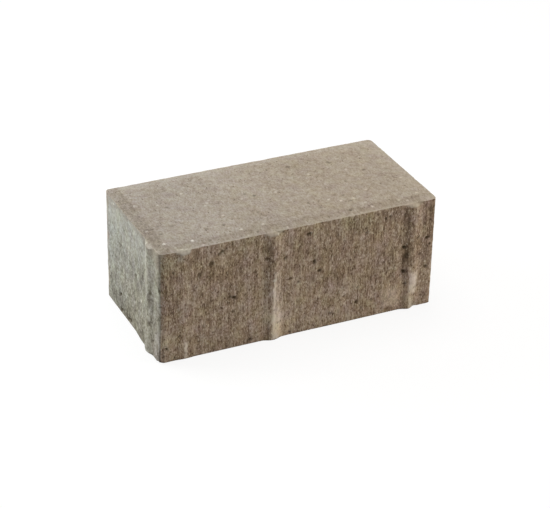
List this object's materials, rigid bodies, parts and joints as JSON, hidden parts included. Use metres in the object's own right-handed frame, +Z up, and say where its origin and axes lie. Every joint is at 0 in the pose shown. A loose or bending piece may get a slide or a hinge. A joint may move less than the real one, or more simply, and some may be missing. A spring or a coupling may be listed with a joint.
{
  "type": "paving stone",
  "caption": "Rectangular pressed concrete paving stone with a sloped top edge and upright spacer ribs, laid on a sand bed to make paths and yards.",
  "frame": {"origin": "middle of the bed face, under the centre of the stone", "axes": "+X along the length, +Y across the width to the back, +Z up to the wearing face"},
  "size_m": [0.2, 0.1, 0.08],
  "materials": {
    "concrete": "bare pressed concrete, matt and fine-grained on top, streaked and open-pored on the sides"
  },
  "bodies": {
    "root": {"paving_stone": "concrete"}
  },
  "joints": []
}
